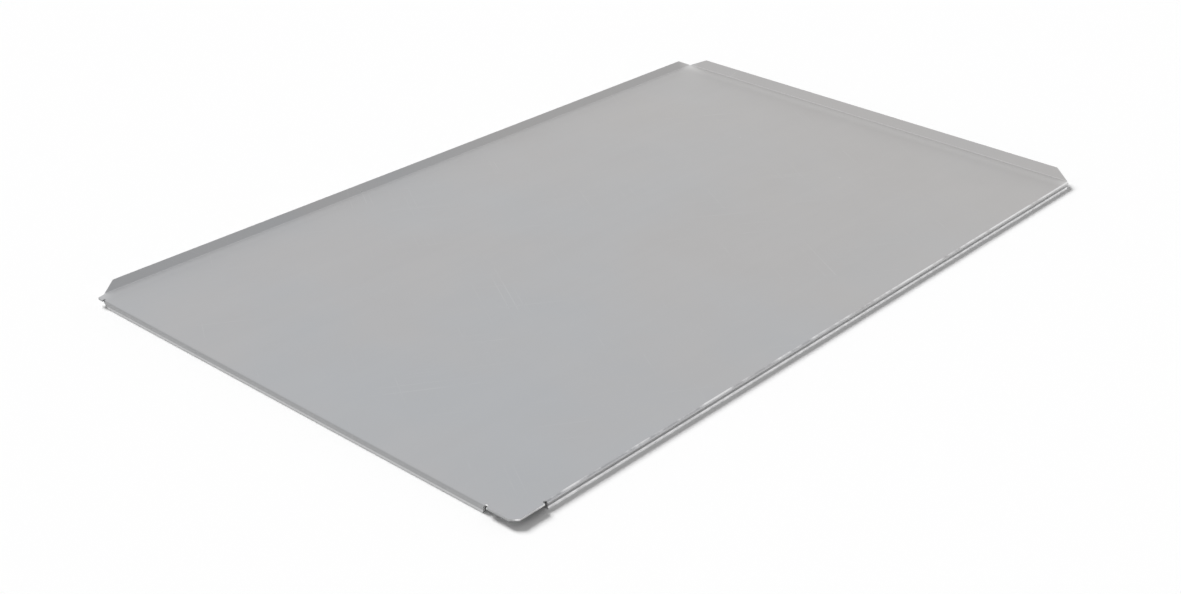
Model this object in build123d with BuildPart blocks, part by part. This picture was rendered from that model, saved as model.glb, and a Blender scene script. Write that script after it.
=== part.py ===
from build123d import *
from math import cos, radians, sin, tan
import os

os.makedirs("parts", exist_ok=True)

# A flat baking sheet folded from one blank of aluminium, in millimetres.
# Its long edges run along X and its short edges along Y. The far pair (+Y, +X) is turned
# up, the near pair (-Y, -X) is turned down, and the sheet stands on that near pair.
# Origin: the middle of the bounding box on the surface that the sheet stands on, +Z up.

# Overall size, with the lips
overall_length = 508.0
overall_width = 305.0

# The blank
sheet_thickness = 1.0
bend_inner_radius = 0.5

# Lips turned up, measured on their inner face from the sharp fold line to the free edge
up_lip_angle = 45.0
long_up_lip_width = 5.5
short_up_lip_width = 6.8
up_lip_corner_radius = 1.5
lip_end_run_share = 1.46

# Lips turned down square, from the baking surface to the free edge, which flares out as a
# rim and is trimmed flat where it stands on the table
down_lip_height = 4.0
down_lip_corner_radius = 0.3
rim_angle = 20.0
rim_bend_radius = 1.0
rim_width = 0.8
long_down_lip_slant = 1.8
short_down_lip_slant = 4.5

# Corner where the two turned-down lips meet: a flat tab with a clipped tip
tab_along_long_edge = 19.5
tab_along_short_edge = 16.5
tab_tip_clip = 3.4

# Slots that part the turned-down lips from the flat corners, so that they bend clear
near_slot_width = 2.2
left_slot_width = 0.4

# Far ends of the turned-down lips, from the bend and the fold that they run up to
long_down_lip_end_gap = 0.3
short_down_lip_end_gap = 5.8

# Clipped corners, from the fold lines that meet there
far_corner_clip = 0.5
left_clip_along_short_edge = 1.5
left_clip_along_long_edge = 5.5

# One overrun serves every cut
cut_overrun = 2.0

# Sizes that follow from those above
half_length = overall_length / 2
half_width = overall_width / 2
bend_outer_radius = bend_inner_radius + sheet_thickness
rim_under_radius = rim_bend_radius + sheet_thickness
tangent_length = bend_inner_radius * tan(radians(up_lip_angle / 2))
underside_height = down_lip_height - sheet_thickness


def up_lip_reach(width):
    """How far a turned-up lip stands out from the line where its bend starts."""
    flat = width - tangent_length
    turn = radians(up_lip_angle)
    return bend_outer_radius * sin(turn) + flat * cos(turn)


# Flat of the turned-down lips, between the bend and the rim, and how far they stand out
rim_turn = radians(rim_angle)
rim_drop = rim_under_radius * sin(rim_turn) + rim_width * cos(rim_turn)
down_lip_flat = down_lip_height - bend_outer_radius - rim_drop
rim_outer_drop = sheet_thickness * sin(rim_turn) + rim_width * cos(rim_turn)
rim_reach = rim_bend_radius * (1 - cos(rim_turn)) + rim_outer_drop * tan(rim_turn)
down_lip_reach = bend_outer_radius + rim_reach

# Lines where the bends start
near_short_bend = -half_length + down_lip_reach
near_long_bend = -half_width + down_lip_reach
far_short_bend = half_length - up_lip_reach(short_up_lip_width)
far_long_bend = half_width - up_lip_reach(long_up_lip_width)

# Middles of the slots, along the edges that they open on
slot_length = down_lip_reach + cut_overrun
slot_long = -half_length + tab_along_long_edge + near_slot_width / 2
slot_short = -half_width + tab_along_short_edge + near_slot_width / 2
slot_left = far_long_bend + tangent_length - short_down_lip_end_gap + left_slot_width / 2

# Ends of the folds
long_down_lip_end = far_short_bend - long_down_lip_end_gap
left_tip = far_long_bend + tangent_length - left_clip_along_short_edge
left_fold_end = -half_length + left_clip_along_long_edge


def turned_edge(start, outward, length, angle, flat, start_run, end_run, corner_radius, flare=0):
    """One folded edge: its bend, its flat and, where it flares, its rim. It starts at a
    point of the panel's underside and runs clockwise as seen from above. A positive
    angle turns the lip up, a negative one down."""
    out = Vector(*outward)
    along = out.cross(Vector(0, 0, 1))
    side = 1 if angle > 0 else -1
    turn = radians(abs(angle))
    under_radius = bend_outer_radius if angle > 0 else bend_inner_radius

    rise = side * under_radius * (1 - cos(turn))
    foot = Vector(*start) + out * (under_radius * sin(turn)) + Vector(0, 0, rise)
    lip_direction = out * cos(turn) + Vector(0, 0, side * sin(turn))
    lip_plane = Plane(origin=foot, x_dir=along, z_dir=along.cross(lip_direction))
    lip_width = flat + rim_drop if flare else flat
    margin = bend_outer_radius + cut_overrun

    with BuildPart() as edge:
        # The section of the fold, drawn along its underside and swept straight
        with BuildSketch(Plane(origin=start, x_dir=out, z_dir=along)):
            with BuildLine():
                last = JernArc((0, 0), (1, 0), under_radius, angle)
                if flare:
                    face = PolarLine(last @ 1, flat, direction=last % 1)
                    last = JernArc(face @ 1, face % 1, rim_under_radius, flare)
                PolarLine(last @ 1, lip_width + cut_overrun, direction=last % 1)
                offset(amount=sheet_thickness, side=Side.LEFT)
            make_face()
        extrude(amount=length)

        # The outline that it is sheared to, with slanted ends and rounded free corners
        with BuildSketch(lip_plane):
            with BuildLine():
                Polyline(
                    (-cut_overrun, -margin),
                    (length + cut_overrun, -margin),
                    (length + cut_overrun, 0),
                    (length, 0),
                    (length - end_run, lip_width),
                    (start_run, lip_width),
                    (0, 0),
                    (-cut_overrun, 0),
                    close=True,
                )
            outline = make_face()
            fillet(outline.vertices().group_by(Axis.Y)[-1], corner_radius)
        extrude(amount=margin, both=True, mode=Mode.INTERSECT)
    return edge.part


long_lip_up = turned_edge(
    start=(left_fold_end, far_long_bend, underside_height),
    outward=(0, 1, 0),
    length=far_short_bend - far_corner_clip - left_fold_end,
    angle=up_lip_angle,
    flat=long_up_lip_width - tangent_length,
    start_run=lip_end_run_share * long_up_lip_width,
    end_run=lip_end_run_share * long_up_lip_width,
    corner_radius=up_lip_corner_radius,
)
short_lip_up = turned_edge(
    start=(far_short_bend, far_long_bend - far_corner_clip, underside_height),
    outward=(1, 0, 0),
    length=far_long_bend - far_corner_clip - near_long_bend,
    angle=up_lip_angle,
    flat=short_up_lip_width - tangent_length,
    start_run=lip_end_run_share * short_up_lip_width,
    end_run=lip_end_run_share * short_up_lip_width,
    corner_radius=up_lip_corner_radius,
)
long_lip_down = turned_edge(
    start=(long_down_lip_end, near_long_bend, underside_height),
    outward=(0, -1, 0),
    length=long_down_lip_end - slot_long,
    angle=-90,
    flat=down_lip_flat,
    start_run=long_down_lip_slant,
    end_run=0,
    corner_radius=down_lip_corner_radius,
    flare=rim_angle,
)
short_lip_down = turned_edge(
    start=(near_short_bend, slot_short, underside_height),
    outward=(-1, 0, 0),
    length=slot_left - slot_short,
    angle=-90,
    flat=down_lip_flat,
    start_run=0,
    end_run=short_down_lip_slant,
    corner_radius=down_lip_corner_radius,
    flare=rim_angle,
)

with BuildPart() as baking_sheet:
    # Flat panel, out to the bends and to the flat corners
    with BuildSketch(Plane.XY.offset(underside_height)):
        with BuildLine():
            Polyline(
                (-half_length + tab_tip_clip, -half_width),
                (slot_long, -half_width),
                (slot_long, near_long_bend),
                (far_short_bend, near_long_bend),
                (far_short_bend, far_long_bend - far_corner_clip),
                (far_short_bend - far_corner_clip, far_long_bend),
                (left_fold_end, far_long_bend),
                (-half_length, left_tip),
                (-half_length, slot_left),
                (near_short_bend, slot_left),
                (near_short_bend, slot_short),
                (-half_length, slot_short),
                (-half_length, -half_width + tab_tip_clip),
                close=True,
            )
        make_face()
    extrude(amount=sheet_thickness)

    # The four folded edges, of the same blank
    add([long_lip_up, short_lip_up, long_lip_down, short_lip_down])

    # Round-ended slots beside the flat corners, through the panel and the ends of the lips
    with BuildSketch(Plane.XY.offset(-cut_overrun)):
        with Locations((slot_long, near_long_bend - slot_length / 2)):
            SlotOverall(slot_length, near_slot_width, rotation=90)
        with Locations((near_short_bend - slot_length / 2, slot_short)):
            SlotOverall(slot_length, near_slot_width)
        with Locations((near_short_bend - slot_length / 2, slot_left)):
            SlotOverall(slot_length, left_slot_width)
    extrude(amount=down_lip_height + 2 * cut_overrun, mode=Mode.SUBTRACT)

baking_sheet.part.label = "baking_sheet"
export_step(baking_sheet.part, "parts/baking_sheet.step")
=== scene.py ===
from math import cos, pi, radians, sin, tan

import bmesh
import bpy
from mathutils import Euler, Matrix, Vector


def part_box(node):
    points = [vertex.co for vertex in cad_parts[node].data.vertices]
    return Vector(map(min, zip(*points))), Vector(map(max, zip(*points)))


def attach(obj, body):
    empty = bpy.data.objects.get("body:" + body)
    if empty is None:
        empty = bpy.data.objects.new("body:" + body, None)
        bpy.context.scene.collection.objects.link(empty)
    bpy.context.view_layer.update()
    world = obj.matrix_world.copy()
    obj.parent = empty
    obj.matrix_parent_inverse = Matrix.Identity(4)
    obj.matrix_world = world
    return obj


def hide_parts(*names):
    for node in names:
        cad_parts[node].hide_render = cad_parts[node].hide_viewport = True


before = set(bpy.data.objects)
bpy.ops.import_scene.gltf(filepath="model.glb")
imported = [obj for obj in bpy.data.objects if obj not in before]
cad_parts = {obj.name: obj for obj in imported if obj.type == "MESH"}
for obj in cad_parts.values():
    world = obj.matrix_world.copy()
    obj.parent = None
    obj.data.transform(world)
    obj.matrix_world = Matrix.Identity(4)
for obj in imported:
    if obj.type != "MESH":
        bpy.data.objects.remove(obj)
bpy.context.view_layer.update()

# The blank: one piece of rolled aluminium sheet, a millimetre thick.
# It is sheared to its outline, the corners are clipped, and slots are punched beside the
# flat corners, so that these stay flat when the edges fold.
mm = 0.001
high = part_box("baking_sheet")[1]
half_length = high[0]
half_width = high[1]
thickness = 1.0 * mm
inside_radius = 0.5 * mm
outside_radius = inside_radius + thickness
middle_radius = inside_radius + thickness / 2
down_lip_height = 4.0 * mm
underside = down_lip_height - thickness

# The lips that turn up, measured on the inside from the fold line to the free edge
up_angle = radians(45)
up_bend = middle_radius * up_angle
tangent = inside_radius * tan(up_angle / 2)
long_up_width = 5.5 * mm
short_up_width = 6.8 * mm
long_up_straight = long_up_width - tangent
short_up_straight = short_up_width - tangent
end_run_share = 1.46
long_end_run = end_run_share * long_up_width
short_end_run = end_run_share * short_up_width


def reach(straight):
    """How far a lip that is turned up stands out from the start of its bend."""
    return outside_radius * sin(up_angle) + straight * cos(up_angle)


# The lips that turn down end in a rim, which flares out and is trimmed flat below
down_angle = radians(90)
rim_angle = radians(20)
rim_radius = 1.0 * mm
rim_flat = 0.8 * mm
rim_under = rim_radius + thickness
rim_middle = rim_radius + thickness / 2
rim_drop = rim_under * sin(rim_angle) + rim_flat * cos(rim_angle)
down_bend = middle_radius * down_angle
down_straight = down_lip_height - outside_radius - rim_drop
rim_bend = rim_middle * rim_angle
trim = (rim_flat * cos(rim_angle) + thickness / 2 * sin(rim_angle)) / cos(rim_angle)
rim_outer_drop = thickness * sin(rim_angle) + rim_flat * cos(rim_angle)
down_reach = outside_radius + rim_radius * (1 - cos(rim_angle)) + rim_outer_drop * tan(rim_angle)

near_long = -half_width + down_reach
near_short = -half_length + down_reach
far_long = half_width - reach(long_up_straight)
far_short = half_length - reach(short_up_straight)

# The tab at the near corner, the slots beside it, and the narrow slot at the left corner
tab_along_long = 19.5 * mm
tab_along_short = 16.5 * mm
slot_radius = 1.1 * mm
left_radius = 0.2 * mm
short_lip_gap = 5.8 * mm
slot_long = -half_length + tab_along_long + slot_radius
slot_short = -half_width + tab_along_short + slot_radius
slot_left = far_long + tangent - short_lip_gap + left_radius

# The far ends of the lips that turn down
long_lip_gap = 0.3 * mm
long_lip_end = far_short - long_lip_gap
long_lip_slant = 1.8 * mm
short_lip_slant = 4.5 * mm

# The clipped corners and their roundings
tip_clip = 3.4 * mm
far_clip = 0.5 * mm
left_clip_along_long = 5.5 * mm
left_clip_along_short = 1.5 * mm
left_fold_end = -half_length + left_clip_along_long
left_tip = far_long + tangent - left_clip_along_short
lip_corner = 1.5 * mm
clip_corner = 0.9 * mm
slant_corner = 0.3 * mm
arc_steps = 8


def slot_end(centre, across, along):
    """The round end of a slot, from centre - across over centre + along to centre + across."""
    centre, across, along = Vector(centre), Vector(across), Vector(along)
    points = []
    for step in range(2 * arc_steps + 1):
        turn = pi * step / (2 * arc_steps)
        points.append(tuple(centre - across * cos(turn) + along * sin(turn)))
    return points


def rounded(before, corner, after, radius):
    """A sharp corner of the outline, between two points on its sides, as a small arc."""
    corner = Vector(corner)
    back = (Vector(before) - corner).normalized()
    on = (Vector(after) - corner).normalized()
    half = back.angle(on) / 2
    centre = corner + (back + on).normalized() * radius / sin(half)
    start = corner + back * radius / tan(half) - centre
    end = corner + on * radius / tan(half) - centre
    points = []
    for step in range(arc_steps + 1):
        share = step / arc_steps
        points.append(tuple(centre + start.slerp(end, share).normalized() * radius))
    return points


down_flat = down_bend + down_straight
long_free = near_long - down_flat - rim_bend - trim
short_free = near_short - down_flat - rim_bend - trim
long_top = far_long + up_bend + long_up_straight
short_top = far_short + up_bend + short_up_straight

outline = []
# Near long edge, from the tab at the near corner to the right-hand corner
outline += rounded((-half_length, -half_width + tip_clip), (-half_length + tip_clip, -half_width),
                   (0, -half_width), clip_corner)
outline += [(slot_long - slot_radius, -half_width)]
outline += slot_end((slot_long, near_long - slot_radius), (slot_radius, 0), (0, slot_radius))
outline += [(slot_long + slot_radius, long_free)]
outline += rounded((slot_long, long_free), (long_lip_end - long_lip_slant, long_free),
                   (long_lip_end, near_long - down_bend), slant_corner)
outline += [(long_lip_end, near_long - down_bend), (long_lip_end, near_long), (far_short, near_long)]
# Short lip that is turned up
outline += [(far_short + up_bend, near_long)]
outline += rounded((far_short + up_bend, near_long), (short_top, near_long + short_end_run),
                   (short_top, 0), lip_corner)
outline += rounded((short_top, 0), (short_top, far_long - far_clip - short_end_run),
                   (far_short + up_bend, far_long - far_clip), lip_corner)
outline += [(far_short + up_bend, far_long - far_clip), (far_short, far_long - far_clip)]
# Long lip that is turned up
outline += [(far_short - far_clip, far_long), (far_short - far_clip, far_long + up_bend)]
outline += rounded((far_short - far_clip, far_long + up_bend),
                   (far_short - far_clip - long_end_run, long_top), (0, long_top), lip_corner)
outline += rounded((0, long_top), (left_fold_end + long_end_run, long_top),
                   (left_fold_end, far_long + up_bend), lip_corner)
outline += [(left_fold_end, far_long + up_bend), (left_fold_end, far_long)]
# Near short edge, from the left-hand corner back to the tab
outline += rounded((left_fold_end, far_long), (-half_length, left_tip), (-half_length, 0), clip_corner)
outline += [(-half_length, slot_left + left_radius)]
outline += slot_end((near_short - left_radius, slot_left), (0, -left_radius), (left_radius, 0))
outline += [(near_short - down_bend, slot_left - left_radius)]
outline += rounded((near_short - down_bend, slot_left - left_radius),
                   (short_free, slot_left - short_lip_slant), (short_free, 0), slant_corner)
outline += [(short_free, slot_short + slot_radius)]
outline += slot_end((near_short - slot_radius, slot_short), (0, -slot_radius), (slot_radius, 0))
outline += [(-half_length, slot_short - slot_radius)]
outline += rounded((-half_length, 0), (-half_length, -half_width + tip_clip),
                   (-half_length + tip_clip, -half_width), clip_corner)

# The blank is ruled into small fields, so that it can bend along its fold lines and
# carry the slight unevenness that rolled sheet keeps after it is flattened.
field = 12 * mm
bend_fields = 8
same_place = 0.01 * mm
blank = bmesh.new()
blank.faces.new([blank.verts.new((u, v, 0)) for u, v in outline])


def rule(place, direction):
    """Rule the blank along one straight line."""
    everything = blank.verts[:] + blank.edges[:] + blank.faces[:]
    bmesh.ops.bisect_plane(blank, geom=everything, plane_co=place, plane_no=direction, dist=same_place)


for number in range(int(2 * half_length / field) + 1):
    rule((near_short + number * field, 0, 0), (1, 0, 0))
for number in range(int(2 * half_width / field) + 1):
    rule((0, near_long + number * field, 0), (0, 1, 0))
for number in range(bend_fields + 1):
    share = number / bend_fields
    rule((near_short - share * down_bend, 0, 0), (1, 0, 0))
    rule((near_short - down_flat - share * rim_bend, 0, 0), (1, 0, 0))
    rule((far_short + share * up_bend, 0, 0), (1, 0, 0))
    rule((0, near_long - share * down_bend, 0), (0, 1, 0))
    rule((0, near_long - down_flat - share * rim_bend, 0), (0, 1, 0))
    rule((0, far_long + share * up_bend, 0), (0, 1, 0))


# The folds: a press brake turns each edge about a straight line, the far pair upward
# by 45 degrees and the near pair downward until they stand square to the sheet. A last
# stroke flares the free edge of the near pair, and a trim leaves it flat to stand on.
def turned_up(beyond, height):
    """(out, up) of a point of the blank beyond a fold that turns up, at a height in the metal."""
    turn = min(beyond / middle_radius, up_angle)
    straight = max(0, beyond - up_bend)
    radius = outside_radius - height
    out = radius * sin(turn) + straight * cos(turn)
    return out, outside_radius - radius * cos(turn) + straight * sin(turn)


def turned_down(beyond, height):
    """(out, up) of a point of the blank beyond a fold that turns down, at a height in the metal."""
    turn = min(beyond / middle_radius, down_angle)
    radius = inside_radius + height
    out = radius * sin(turn)
    up = radius * cos(turn) - inside_radius - max(0, min(beyond - down_bend, down_straight))
    flare = max(0, min((beyond - down_flat) / rim_middle, rim_angle))
    radius = rim_under - height
    out += radius * (1 - cos(flare))
    up -= radius * sin(flare)
    end = max(0, beyond - down_flat - rim_bend)
    if end > 0:
        # The trim cuts level through the metal, so its two faces end at the same height
        level = rim_flat * cos(rim_angle) + height * sin(rim_angle)
        end = end / trim * level / cos(rim_angle)
        out += end * sin(rim_angle)
        up -= end * cos(rim_angle)
    return out, up


# The waves of the face, which fade out towards its edges
wave_height = 0.09 * mm
wave_margin = 60 * mm


def folded(u, v, height):
    """Where a point of the blank lies when the sheet is finished."""
    x, y, z = u, v, height
    if v > far_long:
        out, z = turned_up(v - far_long, height)
        y = far_long + out
    elif u > far_short:
        out, z = turned_up(u - far_short, height)
        x = far_short + out
    elif v < near_long and slot_long < u:
        out, z = turned_down(near_long - v, height)
        y = near_long - out
    elif u < near_short and slot_short < v < slot_left:
        out, z = turned_down(near_short - u, height)
        x = near_short - out
    else:
        from_edge = min(half_length - abs(u), half_width - abs(v))
        fade = max(0, min(1, from_edge / wave_margin))
        broad_wave = sin(u * 19 + v * 7 + 0.6) * cos(v * 26 - u * 5)
        short_wave = 0.5 * sin(u * 41 - v * 33)
        z += wave_height * (broad_wave + short_wave) * fade * fade * (3 - 2 * fade)
    return Vector((x, y, underside + z))


# Two copies of the ruled blank, its under and its top face, are joined along the cut edge
sheet_mesh = bmesh.new()
layers = []
for height in (0, thickness):
    layer = {}
    for vert in blank.verts:
        layer[vert] = sheet_mesh.verts.new(folded(vert.co.x, vert.co.y, height))
    layers.append(layer)
under, top = layers
blank.normal_update()
for face in blank.faces:
    loop = list(face.verts)
    if face.normal.z < 0:
        loop.reverse()
    sheet_mesh.faces.new([top[vert] for vert in loop])
    sheet_mesh.faces.new([under[vert] for vert in reversed(loop)])
cut_faces = []
for edge in blank.edges:
    if len(edge.link_faces) == 1:
        a, b = edge.verts
        cut_faces.append(sheet_mesh.faces.new([top[a], under[a], under[b], top[b]]))
for face in cut_faces:
    face.material_index = 1
bmesh.ops.recalc_face_normals(sheet_mesh, faces=sheet_mesh.faces)

# Shearing leaves each cut edge slightly rounded
burr = 0.13 * mm
corners = [edge for edge in sheet_mesh.edges
           if len(edge.link_faces) == 2
           and edge.link_faces[0].material_index != edge.link_faces[1].material_index]
bmesh.ops.bevel(sheet_mesh, geom=corners, offset=burr, segments=2, profile=0.5,
                affect="EDGES", material=1, clamp_overlap=True)
for face in sheet_mesh.faces:
    face.smooth = True
mesh = bpy.data.meshes.new("folded_sheet")
sheet_mesh.to_mesh(mesh)
sheet_mesh.free()
blank.free()
sheet = bpy.data.objects.new("folded_sheet", mesh)
bpy.context.scene.collection.objects.link(sheet)
shading = sheet.modifiers.new("even_shading", "WEIGHTED_NORMAL")
shading.mode = "FACE_AREA"
shading.weight = 80

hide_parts("baking_sheet")
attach(sheet, "root")


# The finish: mill-rolled aluminium, dulled by use to a satin grey. It has a faint grain
# along the sheet, cloudy patches and fine scratches. It also has painted light and shade:
# lighter bands by the folds that turn up, darker faces on the lips that turn down, and
# painted highlights on the near long bend and rim, laid out as brighter rubbed metal.
class Shade:
    """One value in a material. Sums and products of it add their own nodes."""

    def __init__(self, tree, socket):
        self.tree = tree
        self.socket = socket

    def node(self, kind, settings, sockets, output=0):
        """Add a node: its settings first, then a value or a link for each socket."""
        made = self.tree.nodes.new(kind)
        for name, value in settings.items():
            setattr(made, name, value)
        for name, value in sockets.items():
            if isinstance(value, Shade):
                self.tree.links.new(value.socket, made.inputs[name])
            else:
                made.inputs[name].default_value = value
        return Shade(self.tree, made.outputs[output])

    def maths(self, operation, *values):
        return self.node("ShaderNodeMath", {"operation": operation}, dict(enumerate(values)))

    def __add__(self, other):
        return self.maths("ADD", self, other)

    def __sub__(self, other):
        return self.maths("SUBTRACT", self, other)

    def __rsub__(self, other):
        return self.maths("SUBTRACT", other, self)

    def __mul__(self, other):
        return self.maths("MULTIPLY", self, other)

    __radd__ = __add__
    __rmul__ = __mul__

    def between(self, start, end):
        """0 up to start, 1 from end on, and smooth from one to the other."""
        settings = {"interpolation_type": "SMOOTHSTEP", "clamp": True}
        sockets = {"Value": self, "From Min": start, "From Max": end}
        return self.node("ShaderNodeMapRange", settings, sockets)

    def axis(self, number):
        """One part of this vector: 0 along the long side, 1 along the short side, 2 upward."""
        return self.node("ShaderNodeSeparateXYZ", {}, {0: self}, number)

    def stretched(self, scale):
        """This vector, scaled along each axis."""
        return self.node("ShaderNodeVectorMath", {"operation": "MULTIPLY"}, {0: self, 1: scale})

    def noise(self, scale, detail=3.0, roughness=0.55):
        return self.node("ShaderNodeTexNoise", {},
                         {"Vector": self, "Scale": scale, "Detail": detail, "Roughness": roughness})

    def turned(self, degrees):
        """This vector, turned about the vertical."""
        return self.node("ShaderNodeVectorRotate", {"rotation_type": "Z_AXIS"},
                         {"Vector": self, "Angle": radians(degrees)})

    def blend(self, first, second):
        """The first colour where this is 0 and the second where it is 1."""
        sockets = {"Factor": self, 6: first, 7: second}
        return self.node("ShaderNodeMix", {"data_type": "RGBA"}, sockets, 2)

    def bump(self, strength, distance):
        """A normal that follows this height."""
        sockets = {"Strength": strength, "Distance": distance, "Height": self}
        return self.node("ShaderNodeBump", {}, sockets)


def new_material(name):
    """An empty material, its surface shader and its first value, the place on the object."""
    material = bpy.data.materials.new(name)
    material.use_nodes = True
    tree = material.node_tree
    tree.nodes.clear()
    shader = tree.nodes.new("ShaderNodeBsdfPrincipled")
    output = tree.nodes.new("ShaderNodeOutputMaterial")
    tree.links.new(shader.outputs[0], output.inputs[0])
    place = Shade(tree, tree.nodes.new("ShaderNodeTexCoord").outputs["Object"])
    return material, shader, place


def wire(shader, sockets):
    """Put values and links on the surface shader."""
    for name, value in sockets.items():
        if isinstance(value, Shade):
            value.tree.links.new(value.socket, shader.inputs[name])
        else:
            shader.inputs[name].default_value = value


rolled, shader, place = new_material("rolled_aluminium")
lengthwise = place.axis(0)
widthwise = place.axis(1)
above = place.axis(2)

# Marks of the rolls, and the cloudy patches and stains of use
grain = place.stretched((12, 900, 900)).noise(1.0, 2.0)
broad_grain = place.stretched((3, 160, 160)).noise(1.0, 3.0)
clouds = place.noise(7.0, 3.0)
stains = place.noise(23.0, 5.0, 0.6)
cool_grey = (0.478, 0.490, 0.508, 1)
warm_grey = (0.496, 0.496, 0.505, 1)
colour = clouds.between(0.35, 0.65).blend(cool_grey, warm_grey)

# The metal is a little warmer in colour towards the far end
far_tint = (0.512, 0.500, 0.492, 1)
tint = (lengthwise + clouds * 0.3).between(-0.15, 0.45)
colour = (tint * 0.8).blend(colour, far_tint)

# Painted light: lighter bands run along the folds that turn up, which offset the darker reflection of
# the lips in the face
short_painted_light_width = 13 * mm
long_painted_light_width = 8 * mm
short_painted_light_grey = (0.70, 0.695, 0.69, 1)
long_painted_light_grey = (0.70, 0.70, 0.705, 1)
short_painted_light = lengthwise.between(far_short - short_painted_light_width, far_short)
short_painted_light -= lengthwise.between(far_short + 0.1 * mm, far_short + 0.6 * mm)
long_painted_light = widthwise.between(far_long - long_painted_light_width, far_long)
long_painted_light -= widthwise.between(far_long, far_long + 0.5 * mm)
colour = (short_painted_light * 0.78).blend(colour, short_painted_light_grey)
colour = (long_painted_light * 0.35).blend(colour, long_painted_light_grey)

# Painted shade: the faces of the lips that turn down are set towards a plain grey, the short one to a
# darker grey, for the darker look of their reflections. The lighter line on the short rim is a painted
# highlight
lip_shade_grey = (0.50, 0.50, 0.505, 1)
short_lip_shade_grey = (0.37, 0.373, 0.378, 1)
short_rim_highlight_grey = (0.58, 0.58, 0.585, 1)
long_side = widthwise.between(near_long + 1.0 * mm, near_long)
short_side = lengthwise.between(near_short - 0.2 * mm, near_short - 1.0 * mm)
below_bend = above.between(down_lip_height - 0.6 * mm, down_lip_height - 1.4 * mm)
over_bend = above.between(down_lip_height - 0.1 * mm, down_lip_height - 0.7 * mm)
rim = above.between(1.5 * mm, 0.9 * mm)
short_rim_highlight = short_side * above.between(1.4 * mm, 1.1 * mm) * above.between(0.3 * mm, 0.6 * mm)
colour = (below_bend * 0.9).blend(colour, lip_shade_grey)
colour = (short_side * over_bend * (1 - rim * 0.55)).blend(colour, short_lip_shade_grey)
colour = (short_rim_highlight * 0.7).blend(colour, short_rim_highlight_grey)

# The underside, which no photograph shows, is taken to be less dulled than the face
under_grey = (0.66, 0.66, 0.665, 1)
facing = place.node("ShaderNodeNewGeometry", {}, {}, 1)
facing_down = facing.axis(2).between(-0.3, -0.8)
colour = facing_down.blend(colour, under_grey)

# Painted highlights, laid out as rubbed metal: the near long bend and rim are made brighter, the bend
# in patches that grow brighter towards the right-hand corner
bend_highlight_grey = (0.90, 0.90, 0.905, 1)
rim_highlight_grey = (0.96, 0.96, 0.965, 1)
highlight_noise = place.stretched((22, 0, 0)).noise(1.0, 2.0)
fine_highlight_noise = place.stretched((160, 60, 200)).noise(1.0, 3.0)
bend_highlight_patches = highlight_noise * 0.7 + fine_highlight_noise * 0.3 + lengthwise * 0.25
at_bend = above.between(down_lip_height - 0.75 * mm, down_lip_height - 0.4 * mm)
on_bend = widthwise.between(near_long - 0.25 * mm, near_long - 0.65 * mm) * at_bend
colour = (on_bend * bend_highlight_patches.between(0.42, 0.56)).blend(colour, bend_highlight_grey)
long_rim_highlight = rim * long_side * (0.55 + fine_highlight_noise.between(0.25, 0.65) * 0.45)
colour = long_rim_highlight.blend(colour, rim_highlight_grey)

# Hairline scratches in two directions, and a few bright specks
mark_grey = (0.72, 0.72, 0.72, 1)
scratches = place.turned(33).stretched((5, 800, 5)).noise(1.0, 1.0).between(0.66, 0.74)
scratches += place.turned(-58).stretched((6, 900, 6)).noise(1.0, 1.0).between(0.67, 0.75)
scratches = scratches * stains.between(0.48, 0.62)
specks = place.node("ShaderNodeTexVoronoi", {"feature": "F1"}, {"Vector": place, "Scale": 21.0})
specks = specks.between(0.013, 0.008)
colour = (scratches * 0.10 + specks * 0.5).blend(colour, mark_grey)

roughness = 0.40 + (clouds - 0.5) * 0.10 + (stains - 0.5) * 0.10
roughness = roughness + (broad_grain - 0.5) * 0.06 - scratches * 0.08
relief = grain * 0.5 + broad_grain * 0.5 - scratches * 0.4
wire(shader, {
    "Base Color": colour,
    "Metallic": 1.0,
    "Roughness": roughness,
    "Normal": relief.bump(0.12, 0.04 * mm),
})
mesh.materials.append(rolled)

# The sheared edges: bare metal with fine marks square to the sheet. They are brightest along the near
# long side and in the short side's slot, which is a painted highlight, and dull along the near short
# side, which is painted shade.
sheared, shader, place = new_material("sheared_edge")
lengthwise = place.axis(0)
widthwise = place.axis(1)
shear_marks = place.stretched((2600, 2600, 60)).noise(1.0, 2.0)
dark_mark = (0.46, 0.47, 0.48, 1)
light_mark = (0.66, 0.665, 0.67, 1)
cut_highlight_grey = (0.92, 0.92, 0.92, 1)
cut_shade_grey = (0.38, 0.384, 0.388, 1)
colour = shear_marks.between(0.3, 0.7).blend(dark_mark, light_mark)
cut_fade = 1.2 * mm
colour = widthwise.between(near_long, near_long - cut_fade).blend(colour, cut_highlight_grey)
colour = lengthwise.between(near_short, near_short - cut_fade).blend(colour, cut_shade_grey)
slot_edge = slot_radius + 0.1 * mm
slot_fade = 0.3 * mm
slot_highlight = widthwise.between(slot_short - slot_edge - slot_fade, slot_short - slot_edge)
slot_highlight *= widthwise.between(slot_short + slot_edge + slot_fade, slot_short + slot_edge)
slot_highlight *= lengthwise.between(near_short + 3 * mm, near_short + 2 * mm)
colour = slot_highlight.blend(colour, cut_highlight_grey)
wire(shader, {
    "Base Color": colour,
    "Metallic": 1.0,
    "Roughness": 0.30 + shear_marks * 0.2,
    "Normal": shear_marks.bump(0.3, 0.05 * mm),
})
mesh.materials.append(sheared)

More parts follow.
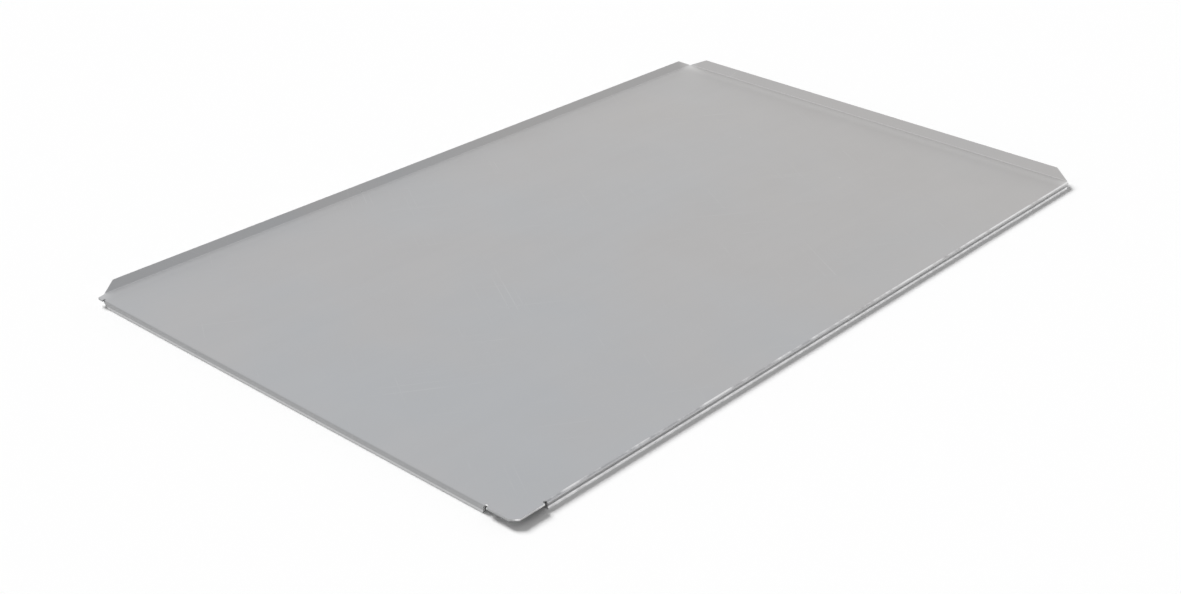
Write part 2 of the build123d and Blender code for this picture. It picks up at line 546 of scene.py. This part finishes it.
# The floor: a plain matt white table. It is flat, isn't part of the sheet, and runs past
# the picture on every side.
floor_mesh = bpy.data.meshes.new("floor")
floor_reach = 6.0
floor_mesh.from_pydata(
    [(-floor_reach, -floor_reach, 0), (floor_reach, -floor_reach, 0),
     (floor_reach, floor_reach, 0), (-floor_reach, floor_reach, 0)],
    [], [(0, 1, 2, 3)])
floor_plane = bpy.data.objects.new("floor", floor_mesh)
bpy.context.scene.collection.objects.link(floor_plane)
white, shader, place = new_material("white_floor")
wire(shader, {"Base Color": (0.97, 0.97, 0.97, 1), "Roughness": 0.9, "Specular IOR Level": 0.0})
floor_mesh.materials.append(white)

# The studio: one broad lamp far behind the long side, which lights the table evenly and
# throws a short shadow to the front, and pale light all round, dimmer high up in front.
# The metal mirrors the pale light and not the lamp, and the table gets less of that light.
lamp_data = bpy.data.lights.new("soft_lamp", "SUN")
lamp_data.angle = radians(23)
lamp_data.energy = 3.6
lamp = bpy.data.objects.new("soft_lamp", lamp_data)
lamp_place = Vector((0.08, 0.79, 0.61)) * 2.2
lamp.location = lamp_place
lamp.rotation_euler = lamp_place.to_track_quat("Z", "Y").to_euler()
lamp.visible_glossy = False
bpy.context.scene.collection.objects.link(lamp)

world = bpy.data.worlds.new("studio")
bpy.context.scene.world = world
world.use_nodes = True
tree = world.node_tree
tree.nodes.clear()
direction = Shade(tree, tree.nodes.new("ShaderNodeTexCoord").outputs["Generated"])
frontward = direction.axis(1) * -1
upward = direction.axis(2)
dim = frontward.between(0.12, 0.56) * upward.between(0.25, 0.75)
on_matt = Shade(tree, tree.nodes.new("ShaderNodeLightPath").outputs["Is Diffuse Ray"])
pale_light = (0.93 - dim * 0.54) * (1 - on_matt * 0.62)
background = tree.nodes.new("ShaderNodeBackground")
tree.links.new(pale_light.socket, background.inputs["Strength"])
background.inputs["Color"].default_value = (1, 1, 1, 1)
world_output = tree.nodes.new("ShaderNodeOutputWorld")
tree.links.new(background.outputs[0], world_output.inputs[0])

# The camera stands in front of the near corner, about three quarters of a metre from it,
# and looks down across the sheet.
camera_data = bpy.data.cameras.new("camera")
camera_data.sensor_width = 36
camera_data.lens = 52.903
picture_width = 1181
sideways_pixels = -14.13
camera_data.shift_x = sideways_pixels / picture_width
camera = bpy.data.objects.new("camera", camera_data)
camera.location = (-0.69904, -0.57068, 0.42931)
look_across = radians(-50.106)
look_down = radians(27.406)
roll = radians(1.797)
aim = Euler((pi / 2 - look_down, 0, look_across)).to_matrix() @ Euler((0, 0, roll)).to_matrix()
camera.rotation_euler = aim.to_euler()
bpy.context.scene.collection.objects.link(camera)
bpy.context.scene.camera = camera
bpy.context.scene.view_settings.view_transform = "Standard"
